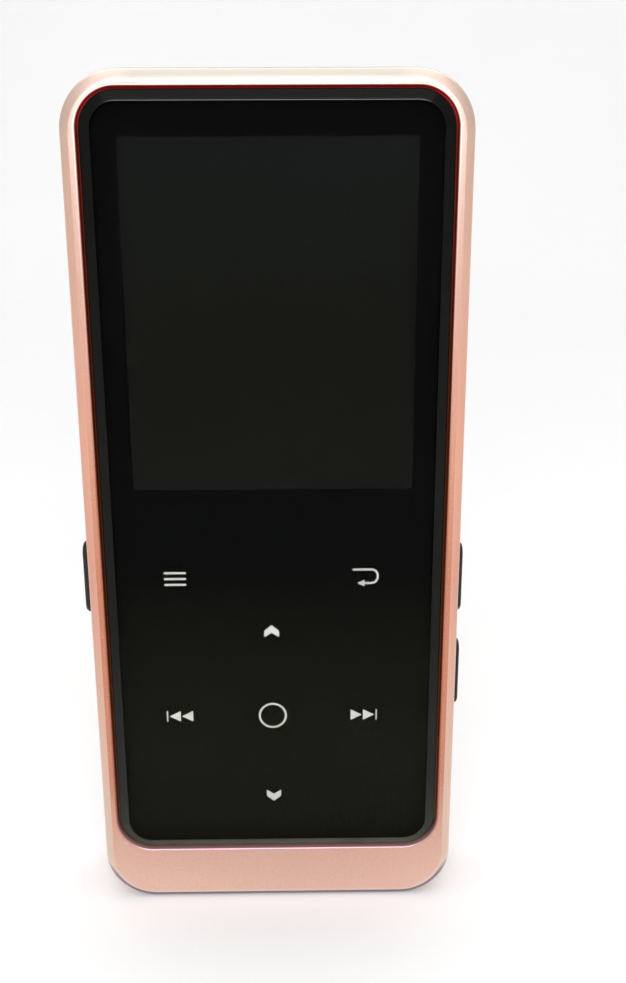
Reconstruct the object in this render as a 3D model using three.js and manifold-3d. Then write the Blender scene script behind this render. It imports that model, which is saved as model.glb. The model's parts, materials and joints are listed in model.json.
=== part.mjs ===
// A pocket digital audio player: a blasted rose-gold metal case with a bevelled black front glass,
// a colour display, capacitive touch keys, one power button and two volume buttons.
//
// Millimetres. Every piece is laid out in the player's own lying frame: x to the right, y from the
// bottom end to the top end, z out through the front glass, with z = 0 half way through the
// thickness. The outer group then stands the player on its bottom end: +Z up, glass facing -Y.
import * as THREE from "three";
import { mergeVertices } from "three/addons/utils/BufferGeometryUtils.js";
import Module from "manifold-3d";

const wasm = await Module();
wasm.setup();

// ---- Driving dimensions ----------------------------------------------------------------------

const BODY = { width: 39.8, length: 92.2, depth: 9, corner: 5.75 };
const FRONT = BODY.depth / 2;
const BACK = -BODY.depth / 2;

// The frame's front rim stands a little lower than the flat of the glass.
const RIM_FRONT = FRONT - 0.15;
const OUTER_BAND = { width: 0.9, drop: 0.56 };
const CHIN = 6.6;
const OPENING = { width: 36.6, length: 84, corner: 3.9 };
const OPENING_TOP = CHIN + OPENING.length;

const COVER = { thickness: 1, edgeWidth: 1, edgeDrop: 0.75, seam: 0.05 };
const COVER_FRONT = BACK + COVER.thickness;
const FRAME_BACK = COVER_FRONT + COVER.seam;
const COVER_TAB = { reach: 5, thickness: 0.7, height: 0.8, gap: 0.15, middle: 66 };

// The ledge that the glass rests on, and the room behind it.
const LEDGE = { front: 3.1, back: 2.3, side: 0.9, end: 1.2, corner: 1.4 };
const CAVITY = { side: 18.5, bottom: 1.8, top: 90.7, corner: 4.2 };

const GLASS = { gap: 0.27, thickness: 1.1, bevelWidth: 1, bevelDrop: 0.5 };
const GLASS_BACK = FRONT - GLASS.thickness;
const INK = { inset: 0.32, front: GLASS_BACK - 0.02, back: GLASS_BACK - 0.1 };
const TAPE = { inset: 0.35, width: 0.5, front: 3.25, back: 3.12 };
const WINDOW = { side: 14.65, bottom: OPENING_TOP - 40.5, top: OPENING_TOP - 4.6, corner: 0.3 };

const TOUCH_FILM = { side: 16.7, bottom: 9.2, top: 41.2, corner: 1, front: 3.27, back: 3.07 };
const TOUCH_SUPPORT = { side: 16.4, bottom: 9.2, top: 41.3, corner: 1, front: 2.95, back: 2.25 };
const SUPPORT_LEG = { radius: 1.6, pilotTop: 1.1 };

const DISPLAY = { side: 17, bottom: 42.2, top: 88.7, corner: 0.6 };
const PANEL = { front: 3.1, back: 2 };
const BACKLIGHT = { front: 1.95, back: 0.95 };

const BOARD = { side: 17, bottom: 3, top: 45, corner: 0.5, front: -1, back: -1.8 };
const SOLDER_GAP = 0.03;
const CORNER_NOTCH = { inner: 14.4, top: 7.7 };

const BATTERY = { side: 15.5, bottom: 48.6, top: 84.6, corner: 1, front: 0.35, back: -3.3 };
const BATTERY_EDGE = { width: 0.7, drop: 0.9 };
const BATTERY_PAD = { side: 12, bottom: 52, top: 81, corner: 1, front: 0.9, back: 0.4 };
const PROTECTION_BOARD = { side: 13, bottom: 46.2, top: 48.4, corner: 0.2, front: -0.6, back: -1.6 };
const LEAD = { radius: 0.4, boardEnd: 42.6, top: 45.95, rise: 0.5, red: 8.4, black: 10.2 };

// side is -1 on the left and +1 on the right, seen from the front.
const BUTTONS = [
  { name: "power", side: -1, bottom: 34.9, top: 43.2, height: 2.6, proud: 1.05 },
  { name: "volume_up", side: 1, bottom: 34.7, top: 42.7, height: 2.4, proud: 0.8 },
  { name: "volume_down", side: 1, bottom: 23.1, top: 31.1, height: 2.4, proud: 0.8 },
];
const BUTTON_CLEARANCE = 0.15;
const BUTTON_EDGE = { width: 0.55, drop: 0.55 };
const FLANGE = { inner: 17.85, outer: 18.45, overhang: 0.7 };
const NUB = { inner: 17.42, reach: 0.8, height: 0.5 };
const SWITCH = { inner: 14.2, outer: 16.7, reach: 2.3, height: 0.96 };
const PLUNGER = { inner: 15.85, outer: 17.4, reach: 1.1, height: 0.5 };
const PLUNGER_POCKET = { inner: 15.5, gap: 0.1 };

const COVER_SCREW_PLACES = [
  [-16.9, 5.4],
  [16.9, 5.4],
  [16.9, 86.8],
  [-16.9, 86.8],
];
const COVER_SCREW = { head: 1.35, headDepth: 0.55, shank: 0.7, length: 3.5, sunk: 0.08 };
const POST = { radius: 1.9, front: 0.5, skin: 0.4 };
const BOARD_SCREW_PLACES = [
  [-13.2, 30.5],
  [12.4, 20.4],
];
const BOARD_SCREW = { head: 1.3, headHeight: 0.5, shank: 0.6, length: 2.6, gap: 0.04 };
const SCREW_TIP = 0.2;
const SCREW_CLEARANCE = 0.12;
const DRIVER_RECESS = { radius: 0.55, depth: 0.28 };

const JACK = { x: 9.8, half: 3.1, height: 2.15, bottom: 1.95, top: 14, gap: 0.3 };
const JACK_NOSE = { radius: 2.5, bottom: 0.25, hole: 2.65 };
const JACK_BORE = { radius: 1.8, top: 13 };
const USB = { x: -7.6, z: 0.5, half: 3.7, height: 1.3, slope: 0.9, wall: 0.3, bottom: 0.5, top: 5.9 };
const USB_HOLE_GAP = 0.35;
const USB_TONGUE = { half: 1.9, height: 0.3, bottom: 1.2, base: 4.4, gap: 0.05 };
const CARD_SLOT = { bottom: 12.4, top: 24.6, front: -2.2, back: -3.1, inner: -4.6 };
const CARD_SOCKET = { outer: -17.6, inner: -3.4, wall: 1.1, front: -1.84, back: -3.4 };
const MICROPHONE = { x: 0.9, z: 0.65, radius: 1.28, bottom: 2.2, top: 3.6, hole: 0.5 };
const BOOT = { outer: 1.55, inner: 1.33, floor: 0.25, bottom: 1.9, length: 1.8 };

const CHIPS = [
  { name: "main_chip", colour: "chip", x: -4.5, y: 27, width: 8, length: 8, height: 0.9 },
  { name: "charger_chip", colour: "chip", x: -11.6, y: 18, width: 3, length: 3, height: 0.8 },
  { name: "crystal", colour: "steel", x: 3.4, y: 30.4, width: 3.2, length: 2.5, height: 0.8 },
];
const MEMORY_CHIP = { x: 5.6, y: 33.5, width: 12, length: 10, height: 1.1 };

const FLEX_THICKNESS = 0.12;
const DISPLAY_CONNECTOR = { side: 6, bottom: 36, top: 38.5, height: 1 };
const TOUCH_CONNECTOR = { side: 3.4, bottom: 11.2, top: 13.2, height: 1 };

const COLOURS = {
  roseMetal: [0xe2ad99, 0.42, 0.9],
  glass: [0x0b0b0c, 0.06, 0],
  ink: [0x0d0d0d, 0.5, 0],
  darkPlastic: [0x3a3230, 0.38, 0],
  blackPlastic: [0x161617, 0.55, 0],
  whitePlastic: [0xe6e6e2, 0.5, 0],
  clearFilm: [0xb9b9b0, 0.25, 0],
  flexAmber: [0xa8641c, 0.4, 0],
  displayGlass: [0x14171a, 0.15, 0],
  boardGreen: [0x14502c, 0.45, 0],
  chip: [0x1b1b1d, 0.5, 0],
  steel: [0xb9bcbf, 0.3, 0.95],
  batteryFoil: [0xc3c6c8, 0.35, 0.8],
  tape: [0x202022, 0.8, 0],
  foam: [0x2c2c2e, 0.95, 0],
  rubber: [0x1c1c1c, 0.85, 0],
  redWire: [0xb01818, 0.5, 0],
  blackWire: [0x18181a, 0.5, 0],
};

// ---- Shapes ----------------------------------------------------------------------------------

const QUARTER_TURN = Math.PI / 2;
// Half the number of straight steps in a round corner: of the case and glass, and of a small piece.
const CASE_CURVE = 5;
const SMALL_CURVE = 2;
// How far a cutting tool runs past the face that it cuts through, and a joined piece into its mate.
const BEYOND = 3;
const MERGE = 0.2;

// A rectangle with round corners, given by its lowest and highest corners.
function roundedRectangle(x0, y0, x1, y1, radius) {
  const shape = new THREE.Shape();
  shape.absarc(x1 - radius, y0 + radius, radius, -QUARTER_TURN, 0);
  shape.absarc(x1 - radius, y1 - radius, radius, 0, QUARTER_TURN);
  shape.absarc(x0 + radius, y1 - radius, radius, QUARTER_TURN, 2 * QUARTER_TURN);
  shape.absarc(x0 + radius, y0 + radius, radius, 2 * QUARTER_TURN, 3 * QUARTER_TURN);
  return shape;
}

// A rounded rectangle centred across the player.
function centred({ side, bottom, top, corner }) {
  return roundedRectangle(-side, bottom, side, top, corner);
}

// The shape as a flat piece, from z = back to z = front.
function slab(shape, back, front, curveSegments = SMALL_CURVE) {
  const options = { depth: front - back, bevelEnabled: false, curveSegments };
  return new THREE.ExtrudeGeometry(shape, options).translate(0, 0, back);
}

// A flat piece whose front and back edges both curve inwards, by width over a depth of drop.
function softSlab(shape, back, front, { width, drop }, curveSegments = SMALL_CURVE) {
  const options = {
    depth: front - back - 2 * drop,
    bevelThickness: drop,
    bevelSize: width,
    bevelOffset: -width,
    bevelSegments: 3,
    curveSegments,
  };
  return new THREE.ExtrudeGeometry(shape, options).translate(0, 0, back + drop);
}

function block(x0, y0, z0, x1, y1, z1) {
  const box = new THREE.BoxGeometry(x1 - x0, y1 - y0, z1 - z0);
  return box.translate((x0 + x1) / 2, (y0 + y1) / 2, (z0 + z1) / 2);
}

// A bar along x. Its shape is drawn with the player's y across and the player's z up.
function barAlongX(shape, x0, x1) {
  const [across, up] = [new THREE.Vector3(0, 1, 0), new THREE.Vector3(0, 0, 1)];
  const turn = new THREE.Matrix4().makeBasis(across, up, new THREE.Vector3(1, 0, 0));
  return slab(shape, Math.min(x0, x1), Math.max(x0, x1)).applyMatrix4(turn);
}

// A bar along y. Its shape is drawn with the player's x across and the player's z up.
function barAlongY(shape, bottom, top) {
  return slab(shape, -top, -bottom).rotateX(QUARTER_TURN);
}

function roundAlongY(x, z, radius, bottom, top) {
  const bar = new THREE.CylinderGeometry(radius, radius, top - bottom, 18);
  return bar.translate(x, (bottom + top) / 2, z);
}

function roundAlongZ([x, y], radius, back, front) {
  const bar = new THREE.CylinderGeometry(radius, radius, front - back, 12);
  return bar.rotateX(QUARTER_TURN).translate(x, y, (back + front) / 2);
}

function turnedAboutY(points) {
  return new THREE.LatheGeometry(points.map(([radius, y]) => new THREE.Vector2(radius, y)), 16);
}

function turnedAboutZ(points) {
  return turnedAboutY(points).rotateX(QUARTER_TURN);
}

// A thin strip from x0 to x1 that bends in the y-z plane along its [y, z] points.
function bentStrip(points, x0, x1) {
  const last = points.length - 1;
  const edge = (way) =>
    points.map(([y, z], i) => {
      const [y0, z0] = points[Math.max(i - 1, 0)];
      const [y1, z1] = points[Math.min(i + 1, last)];
      const shift = (way * FLEX_THICKNESS) / 2 / Math.hypot(y1 - y0, z1 - z0);
      return new THREE.Vector2(y + shift * (z1 - z0), z - shift * (y1 - y0));
    });
  return barAlongX(new THREE.Shape([...edge(1), ...edge(-1).reverse()]), x0, x1);
}

// ---- Cutting and joining ---------------------------------------------------------------------

function solid(geometry) {
  const bare = geometry.clone();
  bare.deleteAttribute("normal");
  bare.deleteAttribute("uv");
  const merged = mergeVertices(bare, 1e-4);
  const mesh = new wasm.Mesh({
    numProp: 3,
    vertProperties: merged.attributes.position.array,
    triVerts: new Uint32Array(merged.index.array),
  });
  return new wasm.Manifold(mesh);
}

// One body: the added pieces joined, less the removed ones.
function build(added, removed = []) {
  const joined = added.map(solid).reduce((whole, piece) => whole.add(piece));
  const mesh = removed
    .map(solid)
    .reduce((left, tool) => left.subtract(tool), joined)
    .getMesh();
  const geometry = new THREE.BufferGeometry();
  geometry.setAttribute("position", new THREE.BufferAttribute(mesh.vertProperties, 3));
  geometry.setIndex(new THREE.BufferAttribute(mesh.triVerts, 1));
  geometry.computeVertexNormals();
  return geometry;
}

const player = new THREE.Group();

function add(name, colour, geometry) {
  const [color, roughness, metalness] = COLOURS[colour];
  const material = new THREE.MeshStandardMaterial({ color, roughness, metalness });
  const mesh = new THREE.Mesh(geometry, material);
  mesh.name = name;
  player.add(mesh);
  return mesh;
}

// ---- Case ------------------------------------------------------------------------------------

const bodyOutline = centred({
  side: BODY.width / 2,
  bottom: 0,
  top: BODY.length,
  corner: BODY.corner,
});

// The frame's opening, drawn in by inset on all sides.
function opening(inset) {
  return centred({
    side: OPENING.width / 2 - inset,
    bottom: CHIN + inset,
    top: OPENING_TOP - inset,
    corner: OPENING.corner - inset,
  });
}

// The micro-USB outline: square corners at the front, sloped ones at the back.
function usbOutline(grow) {
  const half = USB.half + grow;
  const height = USB.height + grow;
  const corners = [
    [half, height],
    [-half, height],
    [-half, USB.slope - height],
    [USB.slope - half, -height],
    [half - USB.slope, -height],
    [half, USB.slope - height],
  ];
  return new THREE.Shape(corners.map(([x, z]) => new THREE.Vector2(USB.x + x, USB.z + z)));
}

function buttonOutline(button, grow) {
  const half = button.height / 2 + grow;
  return roundedRectangle(button.bottom - grow, -half, button.top + grow, half, half);
}

function frontFrame() {
  const ledgeHole = centred({
    side: OPENING.width / 2 - LEDGE.side,
    bottom: CHIN + LEDGE.end,
    top: OPENING_TOP - LEDGE.end,
    corner: LEDGE.corner,
  });
  const hollow = build(
    [softSlab(bodyOutline, FRAME_BACK - BEYOND, RIM_FRONT, OUTER_BAND, CASE_CURVE)],
    [
      block(-BODY.width, -BEYOND, BACK - BEYOND, BODY.width, BODY.length + BEYOND, FRAME_BACK),
      slab(opening(0), LEDGE.front, FRONT + BEYOND, CASE_CURVE),
      slab(ledgeHole, 0, FRONT),
      slab(centred(CAVITY), BACK - BEYOND, LEDGE.back),
    ],
  );
  const posts = COVER_SCREW_PLACES.map((place) =>
    roundAlongZ(place, POST.radius, FRAME_BACK, POST.front),
  );
  const pilotRadius = COVER_SCREW.shank + SCREW_CLEARANCE;
  const pilots = COVER_SCREW_PLACES.map((place) =>
    roundAlongZ(place, pilotRadius, FRAME_BACK - BEYOND, POST.front - POST.skin),
  );
  const slots = BUTTONS.map((button) =>
    barAlongX(
      buttonOutline(button, BUTTON_CLEARANCE),
      button.side * (CAVITY.side - MERGE),
      button.side * (BODY.width / 2 + BEYOND),
    ),
  );
  const wallInside = CAVITY.bottom + 2 * MERGE;
  return build([hollow, ...posts], [
    ...pilots,
    ...slots,
    roundAlongY(JACK.x, 0, JACK_NOSE.hole, -BEYOND, wallInside),
    barAlongY(usbOutline(USB_HOLE_GAP), -BEYOND, wallInside),
    roundAlongY(MICROPHONE.x, MICROPHONE.z, MICROPHONE.hole, -BEYOND, wallInside),
    block(
      -BODY.width / 2 - BEYOND,
      CARD_SLOT.bottom,
      CARD_SLOT.back,
      MERGE - CAVITY.side,
      CARD_SLOT.top,
      CARD_SLOT.front,
    ),
  ]);
}

// Three short tabs inside the cover's edge locate it in the frame: top, left and right.
function coverTabs() {
  const side = CAVITY.side - COVER_TAB.gap;
  const top = CAVITY.top - COVER_TAB.gap;
  const low = COVER_TAB.middle - COVER_TAB.reach;
  const high = COVER_TAB.middle + COVER_TAB.reach;
  const footprints = [
    [-COVER_TAB.reach, top - COVER_TAB.thickness, COVER_TAB.reach, top],
    [-side, low, COVER_TAB.thickness - side, high],
    [side - COVER_TAB.thickness, low, side, high],
  ];
  return footprints.map(([x0, y0, x1, y1]) =>
    block(x0, y0, COVER_FRONT - MERGE, x1, y1, COVER_FRONT + COVER_TAB.height),
  );
}

function rearCover() {
  const edge = { width: COVER.edgeWidth, drop: COVER.edgeDrop };
  const plate = build(
    [softSlab(bodyOutline, BACK, BACK + 3 * COVER.thickness, edge, CASE_CURVE)],
    [block(-BODY.width, -BEYOND, COVER_FRONT, BODY.width, BODY.length + BEYOND, FRONT)],
  );
  const shank = COVER_SCREW.shank + SCREW_CLEARANCE;
  const head = COVER_SCREW.head + SCREW_CLEARANCE;
  const sinkProfile = [
    [0, -BEYOND],
    [head, -BEYOND],
    [head, COVER_SCREW.sunk],
    [shank, COVER_SCREW.sunk + COVER_SCREW.headDepth],
    [shank, BEYOND],
    [0, BEYOND],
  ];
  const sinks = COVER_SCREW_PLACES.map(([x, y]) =>
    turnedAboutZ(sinkProfile).translate(x, y, BACK),
  );
  return build([plate, ...coverTabs()], sinks);
}

// Countersunk, with its head at z = 0 and its tip at z = length. A round recess takes the driver.
function coverScrew() {
  const { head, headDepth, shank, length } = COVER_SCREW;
  return turnedAboutZ([
    [0, DRIVER_RECESS.depth],
    [DRIVER_RECESS.radius, 0],
    [head, 0],
    [shank, headDepth],
    [shank, length - SCREW_TIP],
    [shank - SCREW_TIP, length],
    [0, length],
  ]);
}

add("front_frame", "roseMetal", frontFrame());
add("rear_cover", "roseMetal", rearCover());
COVER_SCREW_PLACES.forEach(([x, y], i) => {
  const screw = add(`cover_screw_${i + 1}`, "steel", coverScrew());
  screw.position.set(x, y, BACK + COVER_SCREW.sunk);
});

// ---- Front glass, its print and its tape -----------------------------------------------------

function coverGlass() {
  const bevel = { width: GLASS.bevelWidth, drop: GLASS.bevelDrop };
  const blank = softSlab(opening(GLASS.gap), GLASS_BACK - BEYOND, FRONT, bevel, CASE_CURVE);
  const under = block(-BODY.width, 0, GLASS_BACK - 2 * BEYOND, BODY.width, BODY.length, GLASS_BACK);
  return build([blank], [under]);
}

function inkMask() {
  const outline = opening(INK.inset);
  outline.holes.push(centred(WINDOW));
  return slab(outline, INK.back, INK.front, CASE_CURVE);
}

function glassTape() {
  const outline = opening(TAPE.inset);
  outline.holes.push(opening(TAPE.inset + TAPE.width));
  return slab(outline, TAPE.back, TAPE.front, CASE_CURVE);
}

add("cover_glass", "glass", coverGlass());
add("ink_mask", "ink", inkMask());
add("glass_tape", "tape", glassTape());

// ---- Touch sensor and its support ------------------------------------------------------------

const LEG_FOOT = BOARD.front + SOLDER_GAP;

function touchSupport() {
  const plate = slab(centred(TOUCH_SUPPORT), TOUCH_SUPPORT.back, TOUCH_SUPPORT.front);
  const legs = BOARD_SCREW_PLACES.map((place) =>
    roundAlongZ(place, SUPPORT_LEG.radius, LEG_FOOT, TOUCH_SUPPORT.front - MERGE),
  );
  const pilots = BOARD_SCREW_PLACES.map((place) =>
    roundAlongZ(place, BOARD_SCREW.shank + SCREW_CLEARANCE, BACK, SUPPORT_LEG.pilotTop),
  );
  return build([plate, ...legs], pilots);
}

// Strips end this far short of the connector that holds them.
const STRIP_END_GAP = 0.12;

function touchFlex() {
  const filmMiddle = (TOUCH_FILM.front + TOUCH_FILM.back) / 2;
  const bend = TOUCH_FILM.bottom - 0.85;
  const route = [
    [TOUCH_FILM.bottom - STRIP_END_GAP, filmMiddle],
    [bend + 0.3, filmMiddle - 0.15],
    [bend, filmMiddle - 0.6],
    [bend, 0.9],
    [bend + 0.35, 0.2],
    [bend + 1.2, -0.25],
    [TOUCH_CONNECTOR.bottom - STRIP_END_GAP, -0.4],
  ];
  return bentStrip(route, -2.6, 2.6);
}

add("touch_film", "clearFilm", slab(centred(TOUCH_FILM), TOUCH_FILM.back, TOUCH_FILM.front));
add("touch_support", "whitePlastic", touchSupport());
add("touch_flex", "flexAmber", touchFlex());

// ---- Display ---------------------------------------------------------------------------------

function displayFlex() {
  const start = (PANEL.front + PANEL.back) / 2;
  const bend = (DISPLAY.bottom + TOUCH_SUPPORT.top) / 2;
  const route = [
    [DISPLAY.bottom - STRIP_END_GAP, start],
    [bend, start - 0.5],
    [bend, 0.9],
    [bend - 0.5, 0.2],
    [bend - 1.6, -0.25],
    [DISPLAY_CONNECTOR.top + STRIP_END_GAP, -0.45],
  ];
  return bentStrip(route, -5, 5);
}

const displayOutline = centred(DISPLAY);
add("lcd_panel", "displayGlass", slab(displayOutline, PANEL.back, PANEL.front));
add("backlight_unit", "whitePlastic", slab(displayOutline, BACKLIGHT.back, BACKLIGHT.front));
add("display_flex", "flexAmber", displayFlex());

// ---- Circuit board and what is soldered to it ------------------------------------------------

function mainBoard() {
  const { front, back, side, bottom } = BOARD;
  const below = bottom - BEYOND;
  const cutBack = back - BEYOND;
  const cutFront = front + BEYOND;
  const notchOuter = side + BEYOND;
  return build([slab(centred(BOARD), back, front)], [
    block(-notchOuter, below, cutBack, -CORNER_NOTCH.inner, CORNER_NOTCH.top, cutFront),
    block(CORNER_NOTCH.inner, below, cutBack, notchOuter, CORNER_NOTCH.top, cutFront),
    block(
      JACK.x - JACK.half - JACK.gap,
      below,
      cutBack,
      JACK.x + JACK.half + JACK.gap,
      JACK.top + JACK.gap,
      cutFront,
    ),
    ...BOARD_SCREW_PLACES.map((place) =>
      roundAlongZ(place, BOARD_SCREW.shank + SCREW_CLEARANCE, cutBack, cutFront),
    ),
  ]);
}

// Pan head, with the top of its head at z = 0 and its tip at z = headHeight + length.
function boardScrew() {
  const { head, headHeight, shank, length } = BOARD_SCREW;
  return turnedAboutZ([
    [0, DRIVER_RECESS.depth],
    [DRIVER_RECESS.radius, 0],
    [head - SCREW_TIP, 0],
    [head, SCREW_TIP],
    [head, headHeight],
    [shank, headHeight],
    [shank, headHeight + length - SCREW_TIP],
    [shank - SCREW_TIP, headHeight + length],
    [0, headHeight + length],
  ]);
}

// A chip with its base a little off the board's front or back face.
function frontChip({ x, y, width, length, height }) {
  const base = BOARD.front + SOLDER_GAP;
  return block(x - width / 2, y - length / 2, base, x + width / 2, y + length / 2, base + height);
}

function backChip({ x, y, width, length, height }) {
  const base = BOARD.back - SOLDER_GAP;
  return block(x - width / 2, y - length / 2, base - height, x + width / 2, y + length / 2, base);
}

function connector({ side, bottom, top, height }) {
  return frontChip({ x: 0, y: (bottom + top) / 2, width: 2 * side, length: top - bottom, height });
}

add("main_board", "boardGreen", mainBoard());
BOARD_SCREW_PLACES.forEach(([x, y], i) => {
  const screw = add(`board_screw_${i + 1}`, "steel", boardScrew());
  screw.position.set(x, y, BOARD.back - BOARD_SCREW.gap - BOARD_SCREW.headHeight);
});
CHIPS.forEach((chip) => add(chip.name, chip.colour, frontChip(chip)));
add("memory_chip", "chip", backChip(MEMORY_CHIP));
add("display_connector", "blackPlastic", connector(DISPLAY_CONNECTOR));
add("touch_connector", "blackPlastic", connector(TOUCH_CONNECTOR));

// ---- Battery ---------------------------------------------------------------------------------

function batteryLead(x) {
  const boardFace = BOARD.front + LEAD.radius + SOLDER_GAP;
  const cellFace = (PROTECTION_BOARD.front + PROTECTION_BOARD.back) / 2;
  const route = new THREE.CatmullRomCurve3([
    new THREE.Vector3(x, LEAD.boardEnd, boardFace),
    new THREE.Vector3(x, LEAD.boardEnd + 1, boardFace + 0.1),
    new THREE.Vector3(x, BOARD.top + 0.2, boardFace + LEAD.rise),
    new THREE.Vector3(x, LEAD.top, cellFace + 0.3),
  ]);
  const section = new THREE.Shape();
  section.absarc(0, 0, LEAD.radius, 0, 4 * QUARTER_TURN);
  const options = { steps: 8, curveSegments: 3, bevelEnabled: false, extrudePath: route };
  return new THREE.ExtrudeGeometry(section, options);
}

add("battery_cell", "batteryFoil", softSlab(centred(BATTERY), BATTERY.back, BATTERY.front, BATTERY_EDGE));
add("battery_pad", "foam", slab(centred(BATTERY_PAD), BATTERY_PAD.back, BATTERY_PAD.front));
add(
  "battery_protection_board",
  "boardGreen",
  slab(centred(PROTECTION_BOARD), PROTECTION_BOARD.back, PROTECTION_BOARD.front),
);
add("battery_lead_red", "redWire", batteryLead(LEAD.red));
add("battery_lead_black", "blackWire", batteryLead(LEAD.black));

// ---- Side buttons and their switches ---------------------------------------------------------

// A block between two distances from the middle plane, on the button's side of the player.
function sideBlock(button, inner, outer, reach, height) {
  const middle = (button.bottom + button.top) / 2;
  const ends = [button.side * inner, button.side * outer];
  const [low, high] = [Math.min(...ends), Math.max(...ends)];
  return block(low, middle - reach, -height, high, middle + reach, height);
}

// A capsule-shaped cap through the wall, with a flange behind the wall and a nub on its middle.
function sideButton(button) {
  const { side, proud } = button;
  const capOuter = BODY.width / 2 + proud;
  const cap = softSlab(buttonOutline(button, 0), FLANGE.inner, capOuter, BUTTON_EDGE);
  const turn = new THREE.Matrix4().makeBasis(
    new THREE.Vector3(0, 1, 0),
    new THREE.Vector3(0, 0, side),
    new THREE.Vector3(side, 0, 0),
  );
  return build([
    cap.applyMatrix4(turn),
    barAlongX(buttonOutline(button, FLANGE.overhang), side * FLANGE.inner, side * FLANGE.outer),
    sideBlock(button, NUB.inner, FLANGE.inner + MERGE, NUB.reach, NUB.height),
  ]);
}

function sideSwitch(button) {
  const { inner, gap } = PLUNGER_POCKET;
  return build(
    [sideBlock(button, SWITCH.inner, SWITCH.outer, SWITCH.reach, SWITCH.height)],
    [sideBlock(button, inner, SWITCH.outer + 1, PLUNGER.reach + gap, PLUNGER.height + gap)],
  );
}

for (const button of BUTTONS) {
  const { inner, outer, reach, height } = PLUNGER;
  add(`${button.name}_button`, "darkPlastic", sideButton(button));
  add(`${button.name}_switch`, "steel", sideSwitch(button));
  const plunger = sideBlock(button, inner, outer, reach, height);
  add(`${button.name}_switch_plunger`, "blackPlastic", plunger);
}

// ---- Sockets and microphone ------------------------------------------------------------------

function headphoneJack() {
  const { x, half, height, bottom, top } = JACK;
  return build(
    [
      block(x - half, bottom, -height, x + half, top, height),
      roundAlongY(x, 0, JACK_NOSE.radius, JACK_NOSE.bottom, bottom + MERGE),
    ],
    [roundAlongY(x, 0, JACK_BORE.radius, -BEYOND, JACK_BORE.top)],
  );
}

function usbSocket() {
  return build(
    [barAlongY(usbOutline(0), USB.bottom, USB.top)],
    [barAlongY(usbOutline(-USB.wall), -BEYOND, USB.top - USB.wall)],
  );
}

function usbTongue() {
  const { half, height, bottom, base, gap } = USB_TONGUE;
  const baseOutline = usbOutline(-USB.wall - gap);
  return build([
    block(USB.x - half, bottom, USB.z - height, USB.x + half, base + MERGE, USB.z + height),
    barAlongY(baseOutline, base, USB.top - USB.wall - gap),
  ]);
}

function cardSocket() {
  const { outer, inner, wall, front, back } = CARD_SOCKET;
  return build(
    [block(outer, CARD_SLOT.bottom - wall, back, inner, CARD_SLOT.top + wall, front)],
    [
      block(
        outer - BEYOND,
        CARD_SLOT.bottom,
        CARD_SLOT.back,
        CARD_SLOT.inner,
        CARD_SLOT.top,
        CARD_SLOT.front,
      ),
    ],
  );
}

// A cup that seals the capsule to the hole in the bottom wall.
function microphoneBoot() {
  const { outer, inner, floor, length } = BOOT;
  return turnedAboutY([
    [MICROPHONE.hole, 0],
    [outer, 0],
    [outer, length],
    [inner, length],
    [inner, floor],
    [MICROPHONE.hole, floor],
    [MICROPHONE.hole, 0],
  ]);
}

add("headphone_jack", "blackPlastic", headphoneJack());
add("usb_socket", "steel", usbSocket());
add("usb_tongue", "blackPlastic", usbTongue());
add("card_socket", "steel", cardSocket());
add(
  "microphone",
  "steel",
  roundAlongY(MICROPHONE.x, MICROPHONE.z, MICROPHONE.radius, MICROPHONE.bottom, MICROPHONE.top),
);
add("microphone_boot", "rubber", microphoneBoot()).position.set(MICROPHONE.x, BOOT.bottom, MICROPHONE.z);

// ---- The player, stood on its bottom end -----------------------------------------------------

player.rotation.x = QUARTER_TURN;
const standing = new THREE.Group();
standing.add(player);

export default standing;
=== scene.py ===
"""Looks for the digital audio player: case, glass, print, buttons, sockets, floor, lights and camera."""

import json
import math

import bmesh
import bpy
from mathutils import Matrix, Vector


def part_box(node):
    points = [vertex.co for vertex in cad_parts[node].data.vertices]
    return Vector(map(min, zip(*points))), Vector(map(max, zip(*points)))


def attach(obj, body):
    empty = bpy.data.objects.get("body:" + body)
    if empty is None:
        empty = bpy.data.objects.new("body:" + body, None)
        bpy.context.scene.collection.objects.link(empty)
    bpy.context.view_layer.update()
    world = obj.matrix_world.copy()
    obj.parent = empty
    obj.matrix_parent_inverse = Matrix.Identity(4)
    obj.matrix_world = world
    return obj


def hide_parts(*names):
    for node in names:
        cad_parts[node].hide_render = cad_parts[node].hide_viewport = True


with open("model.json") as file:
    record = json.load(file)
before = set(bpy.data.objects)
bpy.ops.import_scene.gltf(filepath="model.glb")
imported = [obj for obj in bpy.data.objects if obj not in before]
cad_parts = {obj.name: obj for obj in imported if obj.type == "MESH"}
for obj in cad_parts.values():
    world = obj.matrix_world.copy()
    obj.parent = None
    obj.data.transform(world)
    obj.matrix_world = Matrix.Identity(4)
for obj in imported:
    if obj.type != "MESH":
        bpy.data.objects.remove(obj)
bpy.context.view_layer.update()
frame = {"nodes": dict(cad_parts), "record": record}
NODES = frame["nodes"]
MM = 0.001

# ---- Dimensions, in millimetres, in the player's own lying frame ---
# x is to the right, y from the bottom end to the top end, and z out through the glass.


def lying_box(node):
    """A CAD node's lowest and highest corners as (x, y, z) in the lying frame."""
    lo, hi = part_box(node)
    return Vector((lo.x, lo.z, -hi.y)) / MM, Vector((hi.x, hi.z, -lo.y)) / MM


FRAME_LO, FRAME_HI = lying_box("front_frame")
COVER_LO, COVER_HI = lying_box("rear_cover")
GLASS_LO, GLASS_HI = lying_box("cover_glass")
LCD_FRONT = lying_box("lcd_panel")[1].z

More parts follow.
